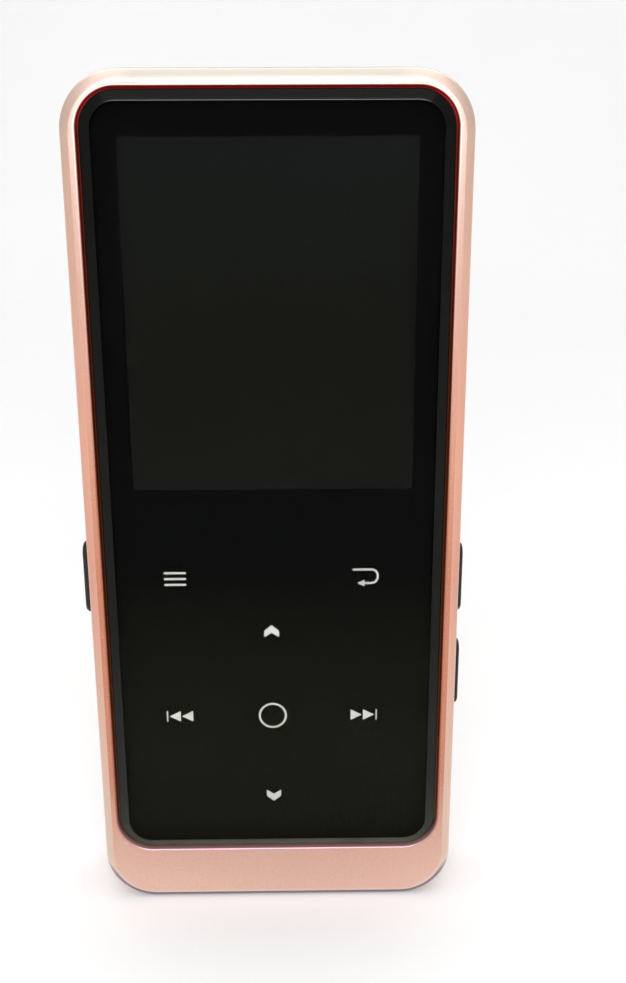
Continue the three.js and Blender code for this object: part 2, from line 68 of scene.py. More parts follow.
HALF_WIDTH = FRAME_HI.x
LENGTH = FRAME_HI.y
RIM_FRONT = FRAME_HI.z
FRAME_BACK = FRAME_LO.z
COVER_SEAM = 0.05
COVER_FRONT = FRAME_BACK - COVER_SEAM
SEAM_ROUND = 0.06
BODY_CORNER = 5.75
BAND = {"width": 0.9, "wall_top": 3.62, "top_share": 1.25}
OPENING_CHAMFER = 0.2
GROOVE = 0.27
OPENING = {
    "side": GLASS_HI.x + GROOVE,
    "bottom": GLASS_LO.y - GROOVE,
    "top": GLASS_HI.y + GROOVE,
    "corner": 3.9,
}
# The ledge that the glass rests on, and the hollow behind it.
LEDGE = {"front": 3.1, "back": 2.3, "side": 0.9, "end": 1.2, "corner": 1.4}
CAVITY = {"side": 18.5, "bottom": 1.8, "top": 90.7, "corner": 4.2}
BUTTON_GAP = 0.15
# How far the mouth of a hole in the case opens out, and how far its tool runs past the wall.
FLARE = 0.12
BEYOND = 1


def at(x, y, z):
    """A point of the lying frame as a point of the scene, in metres."""
    return Vector((x, -z, y)) * MM


# ---- Mesh building -------------------------------------------------

CORNER_STEPS = 28
SIDE_STEPS = 20
END_STEPS = 10


def round_rectangle(
    x0, y0, x1, y1, radius, corner_steps=CORNER_STEPS, side_steps=SIDE_STEPS, end_steps=END_STEPS
):
    """Points round a rectangle with round corners, anticlockwise. Their number doesn't depend on its size."""
    left, right, low, high = x0 + radius, x1 - radius, y0 + radius, y1 - radius
    centres = [(right, low), (right, high), (left, high), (left, low)]
    points = []
    for i, (cx, cy) in enumerate(centres):
        for step in range(corner_steps + 1):
            turn = math.radians(90 * (i - 1 + step / corner_steps))
            points.append((cx + radius * math.cos(turn), cy + radius * math.sin(turn)))
        nx, ny = centres[(i + 1) % 4]
        turn = math.radians(90 * i)
        end = (nx + radius * math.cos(turn), ny + radius * math.sin(turn))
        start = points[-1]
        steps = side_steps if i % 2 == 0 else end_steps
        for step in range(1, steps):
            share = step / steps
            points.append((start[0] + (end[0] - start[0]) * share, start[1] + (end[1] - start[1]) * share))
    return points


def quarter_turn(steps):
    """(cosine, sine) at equal steps from 0 to 90 degrees."""
    turns = [math.radians(90 * i / steps) for i in range(steps + 1)]
    return [(math.cos(turn), math.sin(turn)) for turn in turns]


def body_ring(inset):
    """The case's outline (x, y), drawn in by inset."""
    corner = BODY_CORNER - inset
    return round_rectangle(inset - HALF_WIDTH, inset, HALF_WIDTH - inset, LENGTH - inset, corner)


def opening_ring(inset):
    """The outline of the opening for the glass, drawn in by inset."""
    side = OPENING["side"] - inset
    corner = OPENING["corner"] - inset
    return round_rectangle(-side, OPENING["bottom"] + inset, side, OPENING["top"] - inset, corner)


def ledge_ring():
    """The inner outline of the ledge that the glass rests on."""
    side = OPENING["side"] - LEDGE["side"]
    return round_rectangle(
        -side, OPENING["bottom"] + LEDGE["end"], side, OPENING["top"] - LEDGE["end"], LEDGE["corner"]
    )


def cavity_ring():
    """The outline of the hollow behind the ledge."""
    return round_rectangle(-CAVITY["side"], CAVITY["bottom"], CAVITY["side"], CAVITY["top"], CAVITY["corner"])


def lifted(ring, z):
    """An outline in (x, y) set at depth z."""
    return [at(x, y, z) for x, y in ring]


def skin(rings, loop=False):
    """A closed mesh through rings with as many points each: a tube with capped ends, or a closed loop."""
    bm = bmesh.new()
    rows = [[bm.verts.new(p) for p in ring] for ring in rings]
    pairs = list(zip(rows, rows[1:]))
    if loop:
        pairs.append((rows[-1], rows[0]))
    for a, b in pairs:
        for i in range(len(a)):
            j = (i + 1) % len(a)
            bm.faces.new((a[i], a[j], b[j], b[i]))
    if not loop:
        bm.faces.new(rows[0])
        bm.faces.new(rows[-1])
    bmesh.ops.remove_doubles(bm, verts=bm.verts, dist=1e-7)
    bmesh.ops.recalc_face_normals(bm, faces=bm.faces)
    return bm


def box_mesh(lo, hi):
    """A box between two corners of the lying frame."""
    (x0, y0, z0), (x1, y1, z1) = lo, hi
    flat = [(x0, y0), (x1, y0), (x1, y1), (x0, y1)]
    return skin([lifted(flat, z0), lifted(flat, z1)])


def lathe(profile, place, steps=48, loop=False):
    """A round piece through (radius, distance) points.

    place(a, b, d) puts a point that is a and b across the axis at distance d along it.
    """
    rings = []
    for radius, distance in profile:
        ring = []
        for i in range(steps):
            turn = 2 * math.pi * i / steps
            ring.append(place(radius * math.cos(turn), radius * math.sin(turn), distance))
        rings.append(ring)
    return skin(rings, loop)


def facing(x, y, start=0.0):
    """A place for lathe: an axis through (x, y) out through the glass, from z = start."""
    return lambda a, b, d: at(x + a, y + b, start + d)


def upward(x, z):
    """A place for lathe: an axis through (x, z) from the bottom end upwards."""
    return lambda a, b, d: at(x + a, d, z + b)


def to_mesh(bm, name):
    """A mesh from a bmesh, which is freed."""
    mesh = bpy.data.meshes.new(name)
    bm.to_mesh(mesh)
    bm.free()
    return mesh


def new_object(bm, name):
    """An object made from a bmesh."""
    thing = bpy.data.objects.new(name, to_mesh(bm, name))
    bpy.context.scene.collection.objects.link(thing)
    return thing


def combine(thing, tools, operation):
    """Joins tools to thing, or cuts them out of it, and removes them."""
    for tool in tools:
        other = new_object(tool, "tool")
        change = thing.modifiers.new("combine", "BOOLEAN")
        change.operation = operation
        change.solver = "EXACT"
        change.object = other
        bpy.context.view_layer.update()
        graph = bpy.context.evaluated_depsgraph_get()
        made = bpy.data.meshes.new_from_object(thing.evaluated_get(graph))
        thing.modifiers.clear()
        old = thing.data
        thing.data = made
        bpy.data.meshes.remove(old)
        spare = other.data
        bpy.data.objects.remove(other)
        bpy.data.meshes.remove(spare)


def smooth(thing, angle=35):
    """Smooth shading that keeps edges sharper than angle, and the direction of large faces."""
    mesh = thing.data
    mesh.shade_smooth()
    mesh.set_sharp_from_angle(angle=math.radians(angle))
    weigh = thing.modifiers.new("weigh normals", "WEIGHTED_NORMAL")
    weigh.keep_sharp = True
    weigh.weight = 60


def finish_piece(thing, look, body="case", replaces=()):
    """Gives a piece its look, hangs it on the body it rides on, and hides the CAD nodes it replaces."""
    thing.data.materials.clear()
    thing.data.materials.append(look)
    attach(thing, body)
    if replaces:
        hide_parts(*replaces)


# ---- Materials -----------------------------------------------------


class Look:
    """A procedural material: a Principled shader with nodes in front of it."""

    def __init__(self, name, **constants):
        self.material = bpy.data.materials.new(name)
        self.material.use_nodes = True
        self.tree = self.material.node_tree
        self.tree.nodes.clear()
        self.output = self.tree.nodes.new("ShaderNodeOutputMaterial")
        self.shader = self.tree.nodes.new("ShaderNodeBsdfPrincipled")
        self.join(self.shader.outputs[0], self.output.inputs["Surface"])
        places = self.tree.nodes.new("ShaderNodeTexCoord")
        self.place, self.normal = places.outputs["Object"], places.outputs["Normal"]
        for key, value in constants.items():
            self.shader.inputs[key.replace("_", " ")].default_value = value

    def join(self, source, target):
        self.tree.links.new(source, target)

    def set(self, name, source):
        self.join(source, self.shader.inputs[name])

    def stretched(self, x, y, z):
        """Coordinates stretched along some axes, for a brushed or ribbed grain."""
        node = self.tree.nodes.new("ShaderNodeMapping")
        self.join(self.place, node.inputs["Vector"])
        node.inputs["Scale"].default_value = (x, y, z)
        return node.outputs[0]

    def noise(self, size, detail=2.0, place=None):
        """Noise whose features are about size millimetres across."""
        node = self.tree.nodes.new("ShaderNodeTexNoise")
        self.join(place or self.place, node.inputs["Vector"])
        node.inputs["Scale"].default_value = 1 / (size * MM)
        node.inputs["Detail"].default_value = detail
        return node.outputs[0]

    def cells(self, size):
        """Distance from the middle of cells that are about size millimetres across."""
        node = self.tree.nodes.new("ShaderNodeTexVoronoi")
        self.join(self.place, node.inputs["Vector"])
        node.inputs["Scale"].default_value = 1 / (size * MM)
        return node.outputs["Distance"]

    def remap(self, source, low, high, start=0.3, end=0.7):
        """Goes from low to high as source goes from start to end, and stays there beyond."""
        node = self.tree.nodes.new("ShaderNodeMapRange")
        self.join(source, node.inputs["Value"])
        node.inputs["From Min"].default_value = start
        node.inputs["From Max"].default_value = end
        node.inputs["To Min"].default_value = low
        node.inputs["To Max"].default_value = high
        return node.outputs[0]

    def ramp(self, source, stops):
        """A colour read from stops, which are (value, colour), at source."""
        first, last = stops[0][0], stops[-1][0]
        node = self.tree.nodes.new("ShaderNodeValToRGB")
        self.join(self.remap(source, 0, 1, first, last), node.inputs[0])
        places = node.color_ramp.elements
        while len(places) < len(stops):
            places.new(0.5)
        for place, (value, colour) in zip(places, stops):
            place.position = (value - first) / (last - first)
            place.color = (*colour, 1)
        return node.outputs[0]

    def part(self, vector, axis):
        """One of the three values of a vector."""
        split = self.tree.nodes.new("ShaderNodeSeparateXYZ")
        self.join(vector, split.inputs[0])
        return split.outputs[axis]

    def height(self):
        """Height above the foot, in metres."""
        return self.part(self.place, "Z")

    def aside(self):
        """Distance from the middle plane, in metres."""
        size = self.tree.nodes.new("ShaderNodeMath")
        size.operation = "ABSOLUTE"
        self.join(self.part(self.place, "X"), size.inputs[0])
        return size.outputs[0]

    def facing_up(self):
        """The upward part of the surface's direction: 1 for a top, -1 for an underside."""
        return self.part(self.normal, "Z")

    def blend(self, share, a, b):
        """A colour between a and b, which are colours or sockets."""
        node = self.tree.nodes.new("ShaderNodeMix")
        node.data_type = "RGBA"
        self.join(share, node.inputs[0])
        for socket, value in ((node.inputs[6], a), (node.inputs[7], b)):
            if isinstance(value, bpy.types.NodeSocket):
                self.join(value, socket)
            else:
                socket.default_value = (*value, 1)
        return node.outputs[2]

    def bump(self, height, distance, before=None):
        """Raises the surface by distance millimetres where height is 1."""
        node = self.tree.nodes.new("ShaderNodeBump")
        self.join(height, node.inputs["Height"])
        node.inputs["Distance"].default_value = distance * MM
        if before is not None:
            self.join(before, node.inputs["Normal"])
        return node.outputs[0]


def shade(colour, factor):
    """A colour made darker or lighter."""
    return tuple(min(1.0, channel * factor) for channel in colour)


def speckled(name, colour, size, contrast=0.12, rough=(0.4, 0.5), raised=0.004, **constants):
    """A plain material with fine grain, slow changes of tone, and roughness that follows them."""
    look = Look(name, **constants)
    fine = look.noise(size)
    slow = look.noise(6.0, detail=3)
    tone = look.blend(look.remap(slow, 0, 1), shade(colour, 1 - contrast), shade(colour, 1 + contrast))
    grain = look.blend(look.remap(fine, 0, 0.35), tone, shade(colour, 1 - 2 * contrast))
    look.set("Base Color", grain)
    look.set("Roughness", look.remap(slow, *rough))
    look.set("Normal", look.bump(fine, raised))
    return look.material


# Colours by height: stops of (metres above the foot, colour), mostly painted light. A painted highlight from
# the flash pales the case towards its top, and painted shade makes the colour look deepest in its lower half.
ROSE = ((0.0, (0.74, 0.44, 0.345)), (0.092, (0.74, 0.42, 0.325)))
# The rim: paled at the foot by a painted reflection of the floor, deepened low down by painted shade, and
# paled towards the top by a painted highlight.
RIM_ROSE_PAINTED_LIGHT = (
    (0.002, (0.80, 0.525, 0.430)),
    (0.016, (0.52, 0.190, 0.105)),
    (0.040, (0.50, 0.170, 0.090)),
    (0.060, (0.68, 0.325, 0.222)),
    (0.084, (0.68, 0.460, 0.390)),
)
# The band: a painted highlight pales it along the foot and towards the top, and painted shade deepens it in
# between.
BAND_ROSE_PAINTED_LIGHT = (
    (0.001, (0.84, 0.680, 0.620)),
    (0.006, (0.69, 0.515, 0.415)),
    (0.020, (0.66, 0.430, 0.335)),
    (0.040, (0.66, 0.320, 0.235)),
    (0.060, (0.85, 0.430, 0.310)),
    (0.084, (1.00, 0.655, 0.510)),
    (0.0904, (1.00, 0.740, 0.630)),
)
# The edge of the opening: a lilac painted highlight along the bottom, painted shade on the sides, and a
# near-white painted highlight towards the top.
EDGE_ROSE_PAINTED_LIGHT = (
    (0.005, (0.60, 0.40, 0.50)),
    (0.012, (0.42, 0.150, 0.090)),
    (0.050, (0.44, 0.160, 0.100)),
    (0.080, (0.86, 0.600, 0.530)),
    (0.089, (1.00, 0.850, 0.800)),
)
# The groove: painted reflection and shade, lightest along the top, deep red on the sides and brown at the
# bottom.
GROOVE_PAINTED_LIGHT = (
    (0.0066, (0.36, 0.200, 0.180)),
    (0.0120, (0.26, 0.090, 0.050)),
    (0.0220, (0.23, 0.060, 0.022)),
    (0.0450, (0.165, 0.040, 0.013)),
    (0.0660, (0.175, 0.032, 0.012)),
    (0.0860, (0.27, 0.036, 0.022)),
    (0.0895, (0.72, 0.045, 0.052)),
)
# The bevel of the glass: a painted reflection of the floor makes it paler low down.
GLASS_EDGE_REFLECTION_GREY = (
    (0.0066, (0.100, 0.094, 0.074)),
    (0.0080, (0.040, 0.038, 0.030)),
    (0.0140, (0.016, 0.017, 0.016)),
    (0.0350, (0.0022, 0.0020, 0.0014)),
)
# The print is black; a painted reflection makes it very slightly brown low down and a little paler high up.
BLACK_PRINT_AND_REFLECTION = (
    (0.020, (0.0056, 0.0054, 0.0032)),
    (0.042, (0.0004, 0.0005, 0.0004)),
    (0.055, (0.0004, 0.0005, 0.0004)),
    (0.070, (0.0012, 0.0013, 0.0012)),
)
# The display is black; a painted reflection makes it brown low down and greenish high up.
DARK_DISPLAY_AND_REFLECTION = (
    (0.050, (0.0021, 0.0018, 0.0010)),
    (0.066, (0.0036, 0.0036, 0.0022)),
    (0.084, (0.0044, 0.0054, 0.0050)),
)
# Painted glints: a pale colour put into the metal's brightest speckles.
PAINTED_GLINT = (1.0, 0.80, 0.70)
DEEP_PIT = (0.42, 0.19, 0.13)
# Painted light on the band's straight top end: its colour there, the heights over which it comes in, and the
# distances from the middle plane over which it fades out, in metres.
TOP_PAINTED_LIGHT_TINT = (0.595, 0.540, 0.488)
TOP_PAINTED_LIGHT_FROM, TOP_PAINTED_LIGHT_UNTIL = (0.0905, 0.0910), (0.0125, 0.0170)
# The painted shade on the band's underside, where it mirrors the floor's contact shadow: its colour, and how
# far down a face has to look to show it.
UNDERSIDE_PAINTED_SHADE = (0.25, 0.150, 0.180)
UNDERSIDE_SHADE_FACING = (-0.22, -0.10)


def rose_metal(
    name, dye, grain, raised, rough, glint=0.45, pit=0.10, coat=0.5, coat_rough=0.3, uneven=0.05,
    over=False, under=False,
):
    """Blasted and dyed aluminium: coloured metal under a clear film.

    dye is its colour by height, painted highlights and shade included, grain the size of its speckles in
    millimetres, and raised their relief. glint and pit say how strongly the painted glints and the dark
    speckles show, and uneven how much the roughness changes. over paints light on the straight top end, and
    under paints shade on the underside.
    """
    look = Look(name, Metallic=1.0, Coat_Weight=coat, Coat_Roughness=coat_rough, Coat_IOR=1.5)
    fine = look.noise(grain, detail=1.5)
    middle = look.noise(2.4 * grain, detail=2)
    slow = look.noise(9.0, detail=2)
    # The colours by height carry painted highlights and shade.
    base = look.ramp(look.height(), dye)
    tone = look.blend(look.remap(slow, 0, 0.10), base, shade(DEEP_PIT, 1.4))
    pits = look.blend(look.remap(middle, 0, pit, 0.50, 0.72), tone, DEEP_PIT)
    # Painted glints on the brightest speckles.
    colour = look.blend(look.remap(fine, 0, glint, 0.60, 0.76), pits, PAINTED_GLINT)
    # Painted light on the straight top end, and painted shade on the underside.
    if over:
        top = look.blend(look.remap(look.aside(), 0, 1, *TOP_PAINTED_LIGHT_UNTIL), TOP_PAINTED_LIGHT_TINT, colour)
        colour = look.blend(look.remap(look.height(), 0, 1, *TOP_PAINTED_LIGHT_FROM), colour, top)
    if under:
        colour = look.blend(look.remap(look.facing_up(), 1, 0, *UNDERSIDE_SHADE_FACING), colour, UNDERSIDE_PAINTED_SHADE)
    look.set("Base Color", colour)
    look.set("Roughness", look.remap(middle, rough - uneven, rough + uneven))
    relief = look.bump(middle, 0.6 * raised)
    look.set("Normal", look.bump(fine, raised, before=relief))
    return look.material


def lamp_through(look):
    """Lets light from the lamps pass the glass, so that what is behind it is lit."""
    tree = look.tree
    path = tree.nodes.new("ShaderNodeLightPath")
    clear = tree.nodes.new("ShaderNodeBsdfTransparent")
    mix = tree.nodes.new("ShaderNodeMixShader")
    tree.links.new(path.outputs["Is Shadow Ray"], mix.inputs[0])
    tree.links.new(look.shader.outputs[0], mix.inputs[1])
    tree.links.new(clear.outputs[0], mix.inputs[2])
    tree.links.new(mix.outputs[0], look.output.inputs["Surface"])
    return look.material


def front_glass(name):
    """Clear glass that reflects little, as the photo shows."""
    look = Look(name, Transmission_Weight=1.0, IOR=1.08, Roughness=0.0)
    slow = look.noise(16.0, detail=3)
    look.set("Base Color", look.blend(look.remap(slow, 0, 1), (0.93, 0.94, 0.93), (0.97, 0.97, 0.96)))
    return lamp_through(look)


def groove_painted_light(name):
    """The groove round the glass, dark red from painted reflection and shade, brightest along the top and
    brown at the bottom.
    """
    look = Look(name, Specular_IOR_Level=0.0)
    fine = look.noise(0.12)
    base = look.ramp(look.height(), GROOVE_PAINTED_LIGHT)
    look.set("Base Color", look.blend(look.remap(fine, 0, 0.2), base, (0.10, 0.016, 0.010)))
    look.set("Roughness", look.remap(fine, 0.55, 0.65))
    return look.material


def glass_edge(name, ior):
    """The ground edge of the glass over black print, with a painted reflection that makes it paler low down.
    """
    look = Look(name, IOR=ior)
    slow = look.noise(5.0, detail=2)
    base = look.ramp(look.height(), GLASS_EDGE_REFLECTION_GREY)
    look.set("Base Color", look.blend(look.remap(slow, 0, 0.4), base, (0.004, 0.004, 0.003)))
    look.set("Roughness", look.remap(slow, 0.10, 0.14))
    return look.material


def black_print_and_reflection(name):
    """The black print behind the glass, with a painted reflection that makes it very slightly brown low down.
    """
    look = Look(name, Specular_IOR_Level=0.0)
    fine = look.noise(0.2)
    base = look.ramp(look.height(), BLACK_PRINT_AND_REFLECTION)
    look.set("Base Color", look.blend(look.remap(fine, 0, 0.08), base, (0.0004, 0.0004, 0.0003)))
    look.set("Roughness", look.remap(fine, 0.6, 0.7))
    return look.material


DOT_PITCH = 0.219
# How many times the wave texture repeats over one unit at a scale of 1.
WAVES_PER_UNIT = 3.18


def active_display(name):
    """A dark unlit display: faint columns of dots, and a painted reflection that makes it greenish high up
    and brown low down.
    """
    look = Look(name, IOR=1.5, Specular_IOR_Level=0.02)
    columns = look.tree.nodes.new("ShaderNodeTexWave")
    columns.wave_type = "BANDS"
    columns.bands_direction = "X"
    look.join(look.place, columns.inputs["Vector"])
    columns.inputs["Scale"].default_value = 1 / (DOT_PITCH * MM * WAVES_PER_UNIT)
    slow = look.noise(14.0, detail=3)
    base = look.ramp(look.height(), DARK_DISPLAY_AND_REFLECTION)
    tone = look.blend(look.remap(slow, 0, 0.4), base, (0.0016, 0.0017, 0.0012))
    lines = look.remap(columns.outputs[0], 0, 0.06, 0, 1)
    look.set("Base Color", look.blend(lines, tone, (0.0016, 0.0017, 0.0014)))
    look.set("Roughness", look.remap(slow, 0.18, 0.26))
    return look.material


def brushed(name, colour, direction, rough=(0.24, 0.36)):
    """Plated or turned steel with fine lines along one direction."""
    look = Look(name, Metallic=1.0)
    along = look.stretched(*direction)
    lines = look.noise(0.05, detail=2, place=along)
    slow = look.noise(3.0, detail=3)
    look.set("Base Color", look.blend(look.remap(lines, 0, 0.5), colour, shade(colour, 0.78)))
    look.set("Roughness", look.remap(slow, *rough))
    look.set("Normal", look.bump(lines, 0.003))
    return look.material


def circuit_board(name):
    """Green solder mask over copper tracks and pads."""
    look = Look(name, IOR=1.5, Coat_Weight=0.4, Coat_Roughness=0.15)
    tracks = look.noise(1.1, detail=0, place=look.stretched(1, 1, 0.35))
    pads = look.cells(1.7)
    mask = look.blend(look.remap(tracks, 0, 1, 0.47, 0.53), (0.012, 0.085, 0.035), (0.022, 0.15, 0.055))
    look.set("Base Color", look.blend(look.remap(pads, 1, 0, 0.10, 0.14), mask, (0.62, 0.45, 0.20)))
    look.set("Roughness", look.remap(tracks, 0.32, 0.45))
    look.set("Normal", look.bump(tracks, 0.03))
    return look.material


BAND_FINISH_AND_PAINTED_LIGHT = {
    "dye": BAND_ROSE_PAINTED_LIGHT,
    "grain": 0.10,
    "raised": 0.0002,
    "rough": 0.30,
    "glint": 0.08,
    "pit": 0.0,
    "coat": 0.9,
    "coat_rough": 0.24,
    "uneven": 0.005,
    "over": True,
}
LOOKS = {}


def add_look(name, make, *values, **constants):
    """Makes a look and keeps it under its name."""
    LOOKS[name] = make(name, *values, **constants)


add_look("rose_metal", rose_metal, ROSE, 0.17, 0.012, 0.40)
add_look("rose_rim", rose_metal, RIM_ROSE_PAINTED_LIGHT, 0.15, 0.010, 0.38, coat=0.9, coat_rough=0.35)
add_look("rose_band", rose_metal, **BAND_FINISH_AND_PAINTED_LIGHT)
add_look("rose_band_outer", rose_metal, **BAND_FINISH_AND_PAINTED_LIGHT, under=True)
add_look("rose_groove", groove_painted_light)
add_look("rose_edge", rose_metal, EDGE_ROSE_PAINTED_LIGHT, 0.10, 0.003, 0.42, glint=0.1, pit=0.0, coat=0.6, coat_rough=0.40)
add_look("glass_edge", glass_edge, 1.22)
add_look("glass_crest", glass_edge, 1.28)
add_look("screw_steel", brushed, (0.42, 0.40, 0.39), (1, 1, 1))
add_look("socket_steel", brushed, (0.58, 0.59, 0.61), (0.15, 1, 1))
add_look("front_glass", front_glass)
add_look("black_ink", black_print_and_reflection)
add_look("white_ink", speckled, (0.47, 0.47, 0.44), 0.12, contrast=0.05, rough=(0.5, 0.6), raised=0.002)
add_look("black_tape", speckled, (0.012, 0.012, 0.013), 0.08, rough=(0.8, 0.95), raised=0.01)
add_look("clear_film", speckled, (0.40, 0.40, 0.37), 0.5, rough=(0.12, 0.2), raised=0.001)
add_look("white_plastic", speckled, (0.74, 0.74, 0.71), 0.15, contrast=0.04, raised=0.003)
add_look("flex_film", speckled, (0.42, 0.17, 0.03), 0.4, rough=(0.25, 0.4), raised=0.004)
DULL = {"rough": (0.2, 0.3), "raised": 0.0002, "Specular_IOR_Level": 0.05}
add_look("display_glass", speckled, (0.0018, 0.0020, 0.0016), 0.4, **DULL)
add_look("display_active", active_display)
add_look("board_green", circuit_board)
add_look("chip_black", speckled, (0.018, 0.018, 0.019), 0.06, rough=(0.45, 0.6), raised=0.006)
add_look("black_plastic", speckled, (0.014, 0.014, 0.015), 0.08, rough=(0.35, 0.5), raised=0.005)
SATIN = {"rough": (0.22, 0.30), "raised": 0.002, "IOR": 1.45, "Specular_IOR_Level": 0.25}
add_look("button_dark", speckled, (0.020, 0.013, 0.012), 0.09, **SATIN)
add_look("battery_foil", speckled, (0.62, 0.63, 0.64), 0.5, rough=(0.28, 0.42), raised=0.02, Metallic=0.85)
add_look("foam", speckled, (0.022, 0.022, 0.024), 0.14, contrast=0.3, rough=(0.9, 1.0), raised=0.05)
add_look("black_rubber", speckled, (0.012, 0.012, 0.012), 0.1, rough=(0.75, 0.9), raised=0.006)
add_look("red_wire", speckled, (0.42, 0.012, 0.012), 0.3, raised=0.003)
add_look("black_wire", speckled, (0.015, 0.015, 0.016), 0.3, raised=0.003)
add_look("gold_contact", brushed, (0.83, 0.58, 0.22), (1, 0.15, 1), rough=(0.2, 0.3))

# Every CAD node takes the look of its slot in the record.
for subpart in frame["record"]["subparts"]:
    node = NODES[subpart["node"]]
    node.data.materials.clear()
    node.data.materials.append(LOOKS[subpart["material_slot"]])

# ---- Case: front frame ---------------------------------------------


def curve(p0, p1, p2, p3, steps):
    """Points along a cubic curve, its ends included."""
    points = []
    for i in range(steps + 1):
        t = i / steps
        s = 1 - t
        weights = (s**3, 3 * s * s * t, 3 * s * t * t, t**3)
        points.append(tuple(sum(w * p[k] for w, p in zip(weights, (p0, p1, p2, p3))) for k in (0, 1)))
    return points


def band_ring(inset):
    """The outline at a distance across the sloped band, which is wider along the top end."""
    top = LENGTH - BAND["top_share"] * inset
    return round_rectangle(inset - HALF_WIDTH, inset, HALF_WIDTH - inset, top, BODY_CORNER - inset)


def frame_rings():
    """The frame's section as rings: the wall, the band, the rim, the opening, the ledge and the hollow."""
    rings = [lifted(body_ring(SEAM_ROUND), FRAME_BACK), lifted(body_ring(0), FRAME_BACK + SEAM_ROUND)]
    wall_top, width, chamfer = BAND["wall_top"], BAND["width"], OPENING_CHAMFER
    rings.append(lifted(body_ring(0), wall_top - 0.15))
    # The band curves in as points of (inset, z).
    band = curve((0, wall_top), (0, 4.02), (0.36, 4.15), (width - 0.03, RIM_FRONT - 0.012), 12)
    rings += [lifted(band_ring(inset), z) for inset, z in band]
    rings.append(lifted(band_ring(width + 0.03), RIM_FRONT))
    for cosine, sine in quarter_turn(5):
        rings.append(lifted(opening_ring(-chamfer * (1 - sine)), RIM_FRONT - chamfer * (1 - cosine)))
    front, back = LEDGE["front"], LEDGE["back"]
    rings += [lifted(outline, front) for outline in (opening_ring(0), ledge_ring())]
    rings += [lifted(outline, back) for outline in (ledge_ring(), cavity_ring())]
    return rings + [lifted(cavity_ring(), FRAME_BACK)]


def capsule(button, grow):
    """The outline of a button's cap, (y, z), drawn out by grow."""
    lo, hi, half = button["bottom"], button["top"], button["half"]
    return round_rectangle(lo - grow, -half - grow, hi + grow, half + grow, half + grow, 12, 8, 1)


def across(side, x, outline):
    """An outline in (y, z) set at distance x from the middle plane on one side."""
    return [at(side * x, y, z) for y, z in outline]


FLANGE_OVERHANG = 0.7
BUTTONS = {}
for key, body, side in (
    ("power_button", "power_key", -1),
    ("volume_up_button", "volume_up_key", 1),
    ("volume_down_button", "volume_down_key", 1),
):
    lo, hi = lying_box(key)
    BUTTONS[key] = {
        "body": body,
        "side": side,
        "bottom": lo.y + FLANGE_OVERHANG,
        "top": hi.y - FLANGE_OVERHANG,
        "half": hi.z - FLANGE_OVERHANG,
        "outer": max(abs(lo.x), abs(hi.x)),
    }

# Where the tools that cut through a side wall start, inside the hollow.
SIDE_TOOL_START = CAVITY["side"] - 0.2


def button_slot(button):
    """The tool that cuts a button's slot, flared at the outside."""
    side = button["side"]
    stations = [
        (SIDE_TOOL_START, BUTTON_GAP),
        (HALF_WIDTH - FLARE, BUTTON_GAP),
        (HALF_WIDTH, BUTTON_GAP + FLARE),
        (HALF_WIDTH + BEYOND, BUTTON_GAP + FLARE),
    ]
    return skin([across(side, x, capsule(button, grow)) for x, grow in stations])


# The headphone socket's place, the radius of its hole, and how far its mouth sits inside the end.
JACK = {"x": 9.8, "hole": 2.65, "bottom": 0.25}
USB_LO, USB_HI = lying_box("usb_socket")
# Half the width and height of the micro-USB mouth, its slanted and round corners, and the gap round it.
USB = {
    "x": (USB_LO.x + USB_HI.x) / 2,
    "z": (USB_LO.z + USB_HI.z) / 2,
    "half": 3.7,
    "height": 1.3,
    "slope": 0.9,
    "corner": 0.34,
    "gap": 0.35,
}
MICROPHONE = {"x": 0.9, "z": 0.65, "radius": 0.5}
WALL_INSIDE = CAVITY["bottom"] + 0.4
CARD_SLOT = {"bottom": 12.4, "top": 24.6, "front": -2.2, "back": -3.1, "corner": 0.2, "flare": 0.1}


def end_hole(x, z, radius):
    """A round hole through the bottom end, flared at the outside."""
    profile = [(radius + FLARE, -BEYOND), (radius + FLARE, 0), (radius, FLARE), (radius, WALL_INSIDE)]
    return lathe(profile, upward(x, z), steps=40)


def usb_outline(grow):
    """The micro-USB outline (x, z), drawn out by grow, with its corners rounded."""
    half, height, slope = USB["half"] + grow, USB["height"] + grow, USB["slope"]
    corners = [
        (half, height),
        (-half, height),
        (-half, slope - height),
        (slope - half, -height),
        (half - slope, -height),
        (half, slope - height),
    ]
    reach, steps = USB["corner"], 6
    points = []
    for i, (x, z) in enumerate(corners):
        before, after = corners[i - 1], corners[(i + 1) % len(corners)]
        ends = []
        for nx, nz in (before, after):
            far = math.hypot(nx - x, nz - z)
            ends.append((x + (nx - x) * reach / far, z + (nz - z) * reach / far))
        for step in range(steps + 1):
            t = step / steps
            s = 1 - t
            px = s * s * ends[0][0] + 2 * s * t * x + t * t * ends[1][0]
            pz = s * s * ends[0][1] + 2 * s * t * z + t * t * ends[1][1]
            points.append((USB["x"] + px, USB["z"] + pz))
    return points


def upright(outline, y):
    """An outline in (x, z) set at height y."""
    return [at(x, y, z) for x, z in outline]


def usb_hole():
    """The tool that cuts the hole for the micro-USB socket."""
    gap = USB["gap"]
    stations = [(-BEYOND, gap + FLARE), (0, gap + FLARE), (FLARE, gap), (WALL_INSIDE, gap)]
    return skin([upright(usb_outline(grow), y) for y, grow in stations])


def card_hole():
    """The tool that cuts the slot for the memory card in the left wall."""
    slot, flare = CARD_SLOT, CARD_SLOT["flare"]

    def outline(grow):
        low, high = slot["bottom"] - grow, slot["top"] + grow
        back, front = slot["back"] - grow, slot["front"] + grow
        return round_rectangle(low, back, high, front, slot["corner"] + grow, 5, 4, 1)

    stations = [(SIDE_TOOL_START, 0), (HALF_WIDTH - flare, 0)]
    stations += [(HALF_WIDTH, flare), (HALF_WIDTH + BEYOND, flare)]
    return skin([across(-1, x, outline(grow)) for x, grow in stations])


